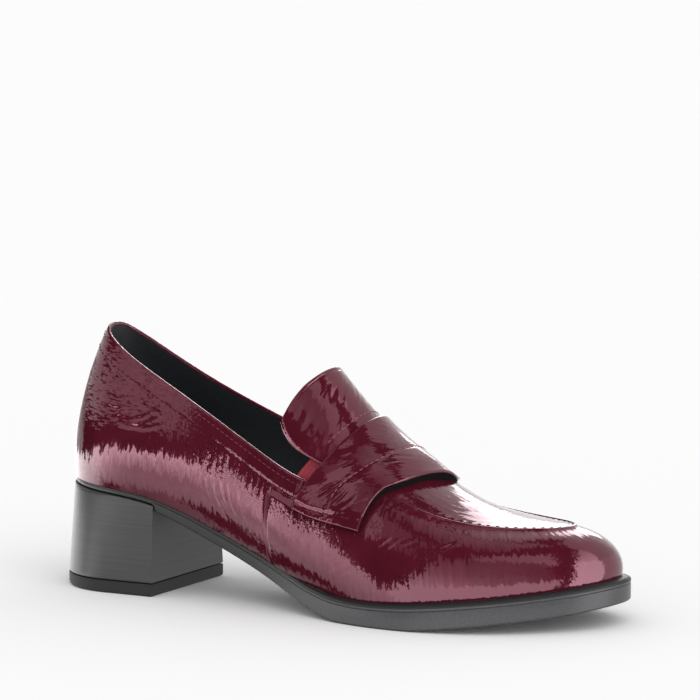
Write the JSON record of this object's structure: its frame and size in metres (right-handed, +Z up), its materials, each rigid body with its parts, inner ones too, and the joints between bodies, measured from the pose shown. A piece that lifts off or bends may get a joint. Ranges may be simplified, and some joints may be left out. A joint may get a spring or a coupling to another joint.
{
  "type": "loafer pump",
  "caption": "Women's block-heeled loafer pump in crinkled patent leather, with a hollow upper, arched tongue, wide strap over the instep and a thick sole with toe spring.",
  "frame": {"origin": "on the ground under the middle of the whole shoe", "axes": "+X from heel to toe, +Y to the inner side of the foot, +Z up"},
  "size_m": [0.247, 0.0842, 0.108],
  "materials": {
    "patent_leather": "glossy crinkled patent, dark burgundy",
    "elastic": "ribbed elastic webbing, dark red",
    "lining": "smooth black lining",
    "sole": "dark grey, satin edge",
    "heel_stack": "dark grey, fine layered look, satin",
    "heel_rubber": "matte dark rubber"
  },
  "bodies": {
    "root": {"upper": "patent_leather", "tongue": "patent_leather", "saddle_strap": "patent_leather", "gore_lateral": "elastic", "gore_medial": "elastic", "insole": "lining", "outsole": "sole", "heel_block": "heel_stack", "heel_top_piece": "heel_rubber"}
  },
  "joints": []
}
